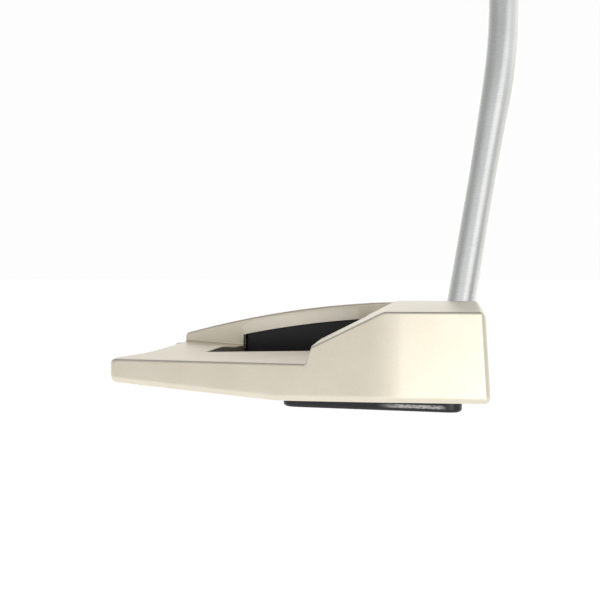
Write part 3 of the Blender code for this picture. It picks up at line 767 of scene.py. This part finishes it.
def build_head(material):
    rings = [full_section(x, inset) for x, inset in stations()]
    head = add_object("head_fine", clean(loft(rings)), material)
    tools = []
    notch = densify(mirrored([(TAIL_X - 12.0, TAIL_Y + 8.0)] + NOTCH), 1.5)
    cutter = flared(notch, lambda x, y: False, lambda x, y: top(max(x, TAIL_X), y), BELOW)
    tools.append(add_object("t_notch", cutter))
    for side, name in ((1, "heel"), (-1, "toe")):
        outline = densify(pocket_outline(side, 0.0, RIDGE_HALF - WALL_SHAVE, POCKET_BACK), 1.2)
        cutter = flared(outline, lambda x, y: abs(y) < RIDGE_HALF, top, BELOW)
        tools.append(add_object("t_pocket_" + name, cutter))
    arch = []
    for step in range(48):
        x = POCKET_FRONT_X + (POCKET_REAR[-1][0] - POCKET_FRONT_X) * step / 47
        arch.append((x, ridge_top(x) - RIDGE_BAND))
    arch += [(arch[-1][0], -2.0), (arch[0][0], -2.0)]
    lifts = [(RIDGE_HALF - ARCH_EDGE, 0.0), (RIDGE_HALF + 1.0, ARCH_EDGE + 1.0)]
    sides = [(-y, lift) for y, lift in reversed(lifts)] + lifts
    tools.append(add_object("t_arch", across(arch, sides)))
    recess_top = PLATE_T + GASKET_GAP + GASKET_T + GAP + 0.1
    tools.append(add_object("t_recess", prism(plate_outline(GAP), -2.0, recess_top)))
    lug = [(POCKET_FRONT_X - 1.0, LUG_HALF + GAP), (LUG_FRONT_X + GAP, LUG_HALF + GAP),
           (LUG_FRONT_X + GAP, -LUG_HALF - GAP), (POCKET_FRONT_X - 1.0, -LUG_HALF - GAP)]
    tools.append(add_object("t_lug", prism(lug, -2.0, LUG_TOP + GAP)))
    for index, (x, y) in enumerate(PLATE_SCREWS[:2]):
        hole = [(SCREW_SHANK_R + GAP, 0.0), (SCREW_SHANK_R + GAP, 11.0)]
        tools.append(add_object("t_screw_%d" % index,
                                turned(hole, Vector((x, y, 0.0)), segments=32)))
    for side, name in ((1, "heel"), (-1, "toe")):
        wall = WEIGHT_R + GAP
        low = weight_base()
        profile = [(wall + 0.6, 0.0), (wall + 0.6, low - 0.35), (wall, low + 0.25),
                   (wall, low + WEIGHT_H + 1.6)]
        tools.append(add_object("t_weight_" + name,
                                turned(profile, Vector((WEIGHT_X, side * WEIGHT_Y, 0.0)))))
    bore = TIP_R + GAP
    profile = [(bore, -BORE_DEPTH), (bore, -1.0), (bore + 0.5, 0.2), (bore + 1.2, 1.5),
               (bore + 1.2, 12.0)]
    tools.append(add_object("t_bore", turned(profile, ENTRY, shaft_axis())))
    groove = across(sight_profile(), [(-SIGHT_HALF - THIN_GAP, 0.0), (SIGHT_HALF + THIN_GAP, 0.0)])
    tools.append(add_object("t_sight", groove))
    carve(head, tools)
    finish_piece(head, "head_body", 32.0)


def build_core(material):
    floor = mirrored(pocket_outline(1, GAP)[1:])
    core = add_object("core_fine", prism(floor, CORE_FLOOR_BOTTOM, CORE_FLOOR_TOP), material)
    front = POCKET_FRONT_X - GAP
    marks = [front + (CORE_TAIL_X + CORE_TAIL_R - front) * step / 47 for step in range(48)]
    marks += [CORE_TAIL_X + CORE_TAIL_R * (1 - math.sin(math.radians(7.5 * step)))
              for step in range(1, 12)]
    kept = []
    for x in marks:
        into = max(0.0, CORE_TAIL_X + CORE_TAIL_R - x)
        half = CORE_HALF - CORE_TAIL_R + math.sqrt(max(0.0, CORE_TAIL_R ** 2 - into ** 2))
        high = ridge_top(x) - RIDGE_BAND - CORE_TUCK
        section = [(half, CORE_FLOOR_BOTTOM + 1.0)]
        for step in range(5):
            angle = math.radians(22.5 * step)
            section.append((half - CORE_EDGE * (1 - math.cos(angle)),
                            high - CORE_EDGE * (1 - math.sin(angle))))
        section += [(-y, z) for y, z in reversed(section)]
        kept.append([(x, y, z) for y, z in section])
    wall = add_object("t_wall", loft(kept))
    lug = add_object("t_lug", prism([(POCKET_FRONT_X - 3.0, LUG_HALF), (LUG_FRONT_X, LUG_HALF),
                                     (LUG_FRONT_X, -LUG_HALF), (POCKET_FRONT_X - 3.0, -LUG_HALF)],
                                    CORE_FLOOR_BOTTOM, LUG_TOP))
    tools = []
    for index, (x, y) in enumerate(PLATE_SCREWS[2:]):
        hole = [(SCREW_SHANK_R + GAP, 3.0), (SCREW_SHANK_R + GAP, 8.0)]
        tools.append(add_object("t_s%d" % index, turned(hole, Vector((x, y, 0.0)), segments=32)))
    for index, (x, y) in enumerate(CORE_SCREWS):
        tools.append(add_object("t_c%d" % index,
                                turned(countersink(CORE_FLOOR_BOTTOM, 12.0), Vector((x, y, 0.0)))))
    carve(core, tools, (wall, lug))
    finish_piece(core, "center_core", 32.0)


def countersink(z_face, z_end):
    wide = SCREW_HEAD_R + GAP
    narrow = SCREW_SHANK_R + GAP
    return [(wide, z_face - 1.0), (wide, z_face + 0.3),
            (narrow, z_face + 0.3 + SCREW_HEAD_H), (narrow, z_end)]


def build_plate(material):
    rings = []
    outline = plate_outline()
    for step in range(9):
        angle = math.radians(11.25 * step)
        inset = PLATE_EDGE * (1 - math.sin(angle))
        lift = PLATE_EDGE * (1 - math.cos(angle))
        rings.append([(x, y, lift) for x, y in grown(outline, -inset)])
    rings.append([(x, y, PLATE_T - 0.3) for x, y in outline])
    rings.append([(x, y, PLATE_T) for x, y in grown(outline, -0.3)])
    plate = add_object("plate_fine", loft(rings), material)
    tools = []
    for index, (x, y) in enumerate(PLATE_SCREWS):
        tools.append(add_object("t_p%d" % index,
                                turned(countersink(0.0, 6.0), Vector((x, y, 0.0)))))
    carve(plate, tools)
    finish_piece(plate, "sole_plate")


def build_screw(node, x, y, z_face, length, material):
    head = z_face + 0.35
    rim = 0.15
    profile = [(SCREW_HEAD_R - rim, head), (SCREW_HEAD_R, head + rim),
               (SCREW_SHANK_R, head + SCREW_HEAD_H)]
    pitch = 0.5
    z = head + SCREW_HEAD_H + 0.2
    end = z_face + length - 0.5
    while z + pitch < end:
        profile += [(SCREW_SHANK_R, z), (SCREW_SHANK_R - 0.22, z + pitch * 0.5)]
        z += pitch
    profile += [(SCREW_SHANK_R, end), (SCREW_SHANK_R - 0.4, z_face + length)]
    place = Vector((x, y, 0.0))
    screw = add_object(node + "_fine", turned(profile, place, segments=40), material)
    socket = add_object("t_socket", turned([(1.3, head - 1.0), (1.3, head), (1.15, head + 0.15),
                                            (1.15, head + 1.3)], place, segments=6))
    carve(screw, [socket])
    finish_piece(screw, node)


def build_weight(node, side, material):
    low = weight_base()
    profile = [(0.4, low + 0.35), (0.9, low + 0.12), (1.4, low + 0.12)]
    for ring_r in (1.9, 2.3, 4.3, 4.7):
        profile += [(ring_r - 0.12, low), (ring_r, low + 0.12), (ring_r + 0.12, low)]
    profile += [(WEIGHT_R - 0.5, low), (WEIGHT_R - 0.15, low + 0.15), (WEIGHT_R, low + 0.5),
                (WEIGHT_R, low + WEIGHT_H - 0.3), (WEIGHT_R - 0.3, low + WEIGHT_H)]
    centre = Vector((WEIGHT_X, side * WEIGHT_Y, 0.0))
    weight = add_object(node + "_fine", turned(profile, centre), material)
    tools = []
    for index, reach in enumerate((-3.2, 3.2)):
        spot = centre + Vector((0.0, reach, 0.0))
        hole = [(1.15, low - 1.0), (1.15, low - 0.05), (0.9, low + 0.2), (0.9, low + 2.0)]
        tools.append(add_object("t_pin%d" % index, turned(hole, spot, segments=32)))
    carve(weight, tools)
    finish_piece(weight, node)


# ---------------------------------------------------------------- shaft and grip

def upper_axis():
    return Vector((0.0, math.cos(LIE), math.sin(LIE)))


def bend_point():
    return ENTRY + shaft_axis() * ((BEND_Z - ENTRY.z) / shaft_axis().z)


def butt_point():
    bend = bend_point()
    travelled = (bend - ENTRY).length + ENTRY.z / math.sin(LIE)
    return bend + upper_axis() * (CLUB_LENGTH - travelled)


def shaft_radius(distance):
    if distance < SWELL_START:
        return TIP_R
    swollen = TIP_R + SWELL
    if distance < SWELL_END:
        t = (distance - SWELL_START) / (SWELL_END - SWELL_START)
        return TIP_R + SWELL * t * t * (3 - 2 * t)
    rise = (BUTT_R - swollen) / STEP_COUNT
    radius = swollen
    for step in range(STEP_COUNT):
        edge = STEP_FIRST + STEP_PITCH * step
        t = min(1.0, max(0.0, (distance - edge + STEP_RUN) / STEP_RUN))
        radius += rise * t * t * (3 - 2 * t)
    return radius


def ring_at(centre, tangent, radius):
    side = Vector((1.0, 0.0, 0.0))
    side = (side - tangent * side.dot(tangent)).normalized()
    other = tangent.cross(side)
    ring = []
    for i in range(SHAFT_SEGMENTS):
        angle = 2 * math.pi * i / SHAFT_SEGMENTS
        ring.append(centre + side * (radius * math.cos(angle))
                    + other * (radius * math.sin(angle)))
    return ring


def build_shaft(material):
    low = shaft_axis()
    high = upper_axis()
    bend = bend_point()
    start = ENTRY - low * (BORE_DEPTH - 0.8)
    bend_in = bend - low * BEND_REACH
    bend_out = bend + high * BEND_REACH
    end = butt_point() - high * (CAP_T + 1.0)
    line = []
    base = (bend_in - start).length
    for k in range(30):
        line.append((start + low * (base * k / 30), low, base * k / 30))
    travelled = base
    previous = bend_in
    for step in range(41):
        t = step / 40
        point = bend_in * (1 - t) ** 2 + bend * 2 * t * (1 - t) + bend_out * t ** 2
        tangent = ((bend - bend_in) * (1 - t) + (bend_out - bend) * t).normalized()
        travelled += (point - previous).length
        previous = point
        line.append((point, tangent, travelled))
    straight = (end - bend_out).length
    marks = [straight * k / 60 for k in range(1, 61)]
    for step in range(STEP_COUNT):
        edge = STEP_FIRST + STEP_PITCH * step - travelled
        marks += [edge - STEP_RUN + STEP_RUN * k / 5 for k in range(6)]
    for mark in sorted(marks):
        if mark - (line[-1][2] - travelled) > 0.05 and mark > 0.0:
            line.append((bend_out + high * mark, high, travelled + mark))
    outer = [ring_at(p, t, shaft_radius(s)) for p, t, s in line]
    inner = [ring_at(p, t, shaft_radius(s) - SHAFT_WALL) for p, t, s in line[::4]]
    inner.append(ring_at(line[-1][0], high, shaft_radius(line[-1][2]) - SHAFT_WALL))
    shaft = add_object("shaft_fine", hollow(outer + list(reversed(inner))), material)
    finish_piece(shaft, "shaft", 45.0)


def grip_centre(share):
    return butt_point() - upper_axis() * (GRIP_LENGTH * (1 - share) + CAP_T * share)


def grip_point(share, angle, sink=0.0):
    """A point on the grip's skin; share runs from its mouth to its butt."""
    side = Vector((1.0, 0.0, 0.0))
    thumb = upper_axis().cross(side).normalized()
    if thumb.y > 0:
        thumb = -thumb
    half_x = GRIP_HALF_X + GRIP_HALF_X_GAIN * share
    bulge = math.exp(-((share - GRIP_BULGE_AT) / GRIP_BULGE_WIDTH) ** 2)
    palm = GRIP_PALM + GRIP_PALM_GAIN * share + GRIP_BULGE * bulge
    flat = GRIP_FLAT + GRIP_FLAT_GAIN * share
    squeeze = 1.0 - 0.06 * max(0.0, 0.03 - share) / 0.03
    reach_x = half_x * math.copysign(abs(math.cos(angle)) ** 0.86, math.cos(angle))
    raised = math.sin(angle)
    if raised >= 0:
        depth = flat * min(1.0, raised * 1.32) ** 0.9
    else:
        depth = -palm * abs(raised) ** 0.95
    spoke = side * (reach_x * squeeze) + thumb * (depth * squeeze)
    shorter = max(0.0, 1.0 - sink / max(1.0, spoke.length))
    return grip_centre(share) + spoke * shorter


def grip_sink(share, angle):
    """Moulded pattern: plain ends, ribs across the thumb flat, dimples round the palm."""
    distance = share * GRIP_LENGTH
    if distance < 14.0 or distance > GRIP_LENGTH - 12.0:
        near = min(abs(distance - 10.0), abs(distance - GRIP_LENGTH + 8.0))
        return 0.35 * max(0.0, 1.0 - near / 0.8)
    turn = math.degrees(angle) % 360.0
    if 52.0 < turn < 128.0:
        phase = (distance % 6.0) / 6.0
        return 0.32 * max(0.0, 1.0 - abs(phase - 0.5) / 0.12)
    if turn < 44.0 or turn > 136.0:
        row = int(distance / 3.2)
        along = (distance / 3.2 - row) - 0.5
        around = (turn / 9.0 + 0.5 * (row % 2)) % 1.0 - 0.5
        away = math.hypot(along * 3.2, around * 2.0)
        return 0.42 * max(0.0, 1.0 - (away / 0.85) ** 2)
    return 0.0


def build_grip(material):
    high = upper_axis()
    segments = 240
    count = 420
    outer = []
    for k in range(count + 1):
        share = k / count
        ring = []
        for i in range(segments):
            angle = 2 * math.pi * i / segments
            ring.append(grip_point(share, angle, 0.02 + grip_sink(share, angle)))
        outer.append(ring)
    # the inner skin is ordered by the same angles as the outer one
    inner = []
    for share in (1.0, 0.5, 0.0):
        centre = grip_centre(share)
        ring = []
        for i in range(segments):
            spoke = outer[int(share * count)][i] - centre
            spoke = spoke - high * spoke.dot(high)
            ring.append(centre + spoke.normalized() * GRIP_BORE_R)
        inner.append(ring)
    grip = add_object("grip_fine", hollow(outer + inner), material)
    finish_piece(grip, "grip", 60.0)


def build_cap(material):
    high = upper_axis()
    base = butt_point() - high * CAP_T
    rim = [grip_point(1.0, 2 * math.pi * i / 120) for i in range(120)]
    rings = []
    for lift, scale in ((GAP, 0.975), (GAP + 0.15, 0.985), (CAP_T - 1.4, 0.985),
                        (CAP_T - 1.0, 0.975), (CAP_T - 0.6, 0.95), (CAP_T - 0.3, 0.91),
                        (CAP_T - 0.1, 0.86), (CAP_T - 0.02, 0.80), (CAP_T, 0.72)):
        rings.append([base + (point - base) * scale + high * lift for point in rim])
    cap = add_object("cap_fine", loft(rings), material)
    vent = turned([(VENT_R, -3.0), (VENT_R, CAP_T - 0.35), (VENT_R + 0.4, CAP_T + 0.05),
                   (VENT_R + 0.4, CAP_T + 3.0)], base, high, 40)
    carve(cap, [add_object("t_vent", vent)])
    finish_piece(cap, "grip_cap")


def build_band(material):
    """Blank film band below the grip, with two faint raised hoops near each end."""
    high = upper_axis()
    upper = butt_point() - high * (GRIP_LENGTH + 6.0)
    lower = upper - high * BAND_LENGTH
    radius = BUTT_R + THIN_GAP
    hoops = (3.0, 5.0, BAND_LENGTH - 5.0, BAND_LENGTH - 3.0)
    rings = []
    for k in range(111):
        distance = BAND_LENGTH * k / 110
        hoop = min(abs(distance - spot) for spot in hoops)
        thick = BAND_T - (0.10 if hoop > 0.6 else 0.0)
        if k in (0, 110):
            thick = 0.08
        rings.append(ring_at(lower + high * distance, high, radius + thick))
    inner = [ring_at(p, high, radius) for p in (upper, lower)]
    band = add_object("band_fine", hollow(rings + inner), material)
    finish_piece(band, "shaft_band")


# ---------------------------------------------------------------- studio

FAR_LOW = 1.50                 # light from the horizon beyond the head
NEAR_LOW = 0.46                # and from the horizon behind the camera
MIDDLE = 0.80
OVERHEAD = 0.26
LEFT_SHARE = 0.50
RIGHT_SHARE = 0.55
FLOOR_Z = -0.16
FLOOR_GLOW = 0.50
FLOOR_HALF = 60.0
BACKDROP = 0.985               # what the camera sees behind the club
CAMERA_PLACE = (0.02297, -0.3605, 0.0381)
CAMERA_YAW = math.radians(7.5)
CAMERA_PITCH = math.radians(1.2)
SENSOR_MM = 36.0
LENS_MM = 70.2


def grey(value):
    return rgb(value, value, value)


def build_world():
    """White to the eye; as a light it is bright low down, dim overhead and to the left."""
    world = bpy.data.worlds.new("studio_world")
    bpy.context.scene.world = world
    world.use_nodes = True
    g = Graph(world.node_tree)
    g.nodes.clear()
    coords = g.add("ShaderNodeTexCoord")
    split = g.add("ShaderNodeSeparateXYZ")
    g.links.new(coords.outputs["Generated"], split.inputs[0])
    x, y, z = split.outputs
    near = g.ramp(y, -0.25, 0.25, 1.0, 0.0)
    level = g.mix(near, grey(FAR_LOW), grey(NEAR_LOW))
    level = g.mix(g.ramp(z, 0.10, 0.60), level, grey(MIDDLE))
    level = g.mix(g.ramp(z, 0.66, 0.92), level, grey(OVERHEAD))
    left = g.ramp(g.math("MULTIPLY", x, -1.0), 0.25, 0.85, 1.0, LEFT_SHARE)
    level = g.math("MULTIPLY", level, left)
    right = g.ramp(x, 0.40, 0.85, 1.0, RIGHT_SHARE)
    right = g.mix(g.ramp(g.math("ABSOLUTE", z), 0.18, 0.45), right, grey(1.0))
    level = g.math("MULTIPLY", level, right)
    tint = g.mix(g.ramp(z, 0.0, 0.8), rgb(1.0, 0.99, 0.97), rgb(0.97, 0.97, 1.0))
    lit = g.add("ShaderNodeBackground")
    g.plug(lit.inputs["Color"], tint)
    g.plug(lit.inputs["Strength"], level)
    seen = g.add("ShaderNodeBackground")
    seen.inputs["Color"].default_value = grey(BACKDROP)
    seen.inputs["Strength"].default_value = 1.0
    path = g.add("ShaderNodeLightPath")
    mixer = g.add("ShaderNodeMixShader")
    g.links.new(path.outputs["Is Camera Ray"], mixer.inputs[0])
    g.links.new(lit.outputs[0], mixer.inputs[1])
    g.links.new(seen.outputs[0], mixer.inputs[2])
    out = g.add("ShaderNodeOutputWorld")
    g.links.new(mixer.outputs[0], out.inputs[0])


def area_light(name, place, aim, size, power):
    lamp = bpy.data.lights.new(name, "AREA")
    lamp.shape = "RECTANGLE"
    lamp.size = size[0]
    lamp.size_y = size[1]
    lamp.energy = power
    item = bpy.data.objects.new(name, lamp)
    bpy.context.collection.objects.link(item)
    item.location = place
    item.visible_camera = False
    item.rotation_euler = (Vector(aim) - Vector(place)).to_track_quat("-Z", "Y").to_euler()


def build_stage():
    bm = bmesh.new()
    bmesh.ops.create_grid(bm, x_segments=40, y_segments=40, size=FLOOR_HALF)
    mesh = bpy.data.meshes.new("floor")
    bm.to_mesh(mesh)
    bm.free()
    floor = bpy.data.objects.new("floor", mesh)
    bpy.context.collection.objects.link(floor)
    floor.location = (0.0, 0.0, FLOOR_Z)
    material, _, shader = start_material("look_floor")
    shader.inputs["Base Color"].default_value = grey(0.93)
    shader.inputs["Roughness"].default_value = 0.8
    shader.inputs["Emission Color"].default_value = grey(1.0)
    shader.inputs["Emission Strength"].default_value = FLOOR_GLOW
    mesh.materials.append(material)
    area_light("key_low", (0.17, -0.62, -0.085), (0.02, -0.056, 0.015), (0.30, 0.13), 0.50)
    area_light("side_soft", (1.6, -1.9, 1.5), (0.0, 0.1, 0.25), (1.6, 2.0), 3.2)


def build_camera():
    data = bpy.data.cameras.new("camera")
    data.sensor_width = SENSOR_MM
    data.lens = LENS_MM
    data.clip_start = 0.01
    data.clip_end = 50.0
    camera = bpy.data.objects.new("camera", data)
    bpy.context.collection.objects.link(camera)
    camera.location = CAMERA_PLACE
    level = math.cos(CAMERA_PITCH)
    forward = Vector((-math.sin(CAMERA_YAW) * level, math.cos(CAMERA_YAW) * level,
                      -math.sin(CAMERA_PITCH)))
    camera.rotation_euler = forward.to_track_quat("-Z", "Y").to_euler()
    bpy.context.scene.camera = camera


def paint(node, material):
    mesh = nodes[node].data
    mesh.materials.clear()
    mesh.materials.append(material)


def main():
    bpy.context.scene.view_settings.view_transform = "Standard"
    head_metal = blasted_metal()
    black = black_metal()
    chrome = plated_steel()
    screw_metal = turned_steel("look_screw_metal", True)
    weight_metal = turned_steel("look_weight_metal", False)
    rubber = moulded("look_grip_rubber", (0.022, 0.022, 0.024), (0.040, 0.040, 0.042),
                     0.62, 0.82, 5000.0, 0.00002)
    gasket = moulded("look_gasket", (0.018, 0.018, 0.018), (0.035, 0.035, 0.036),
                     0.6, 0.8, 3500.0, 0.00002)
    cap_plastic = moulded("look_cap", (0.028, 0.028, 0.031), (0.045, 0.045, 0.05),
                          0.36, 0.5, 2600.0, 0.00001)
    inlay = moulded("look_inlay", (0.012, 0.012, 0.013), (0.022, 0.022, 0.023),
                    0.22, 0.34, 1800.0, 0.000008)
    film = moulded("look_band", (0.085, 0.085, 0.09), (0.12, 0.12, 0.125),
                   0.22, 0.34, 900.0, 0.000006)
    nylon = moulded("look_plug", (0.72, 0.68, 0.58), (0.8, 0.77, 0.68),
                    0.45, 0.6, 2400.0, 0.00001)
    tape = woven_tape()

    build_head(head_metal)
    build_core(black)
    build_plate(black)
    for index, (x, y) in enumerate(PLATE_SCREWS):
        length = 9.5 if index < 2 else 7.4
        build_screw("sole_screw_%d" % (index + 1), x, y, 0.0, length, screw_metal)
    for index, (x, y) in enumerate(CORE_SCREWS):
        build_screw("core_screw_%d" % (index + 1), x, y, CORE_FLOOR_BOTTOM, 9.0, screw_metal)
    for side, name in ((-1, "toe"), (1, "heel")):
        build_weight(name + "_weight", side, weight_metal)
        paint(name + "_weight_ring", gasket)
    build_shaft(chrome)
    build_grip(rubber)
    build_cap(cap_plastic)
    build_band(film)
    paint("sight_line", inlay)
    paint("sole_gasket", gasket)
    paint("tip_plug", nylon)
    paint("grip_tape", tape)
    build_world()
    build_stage()
    build_camera()


main()
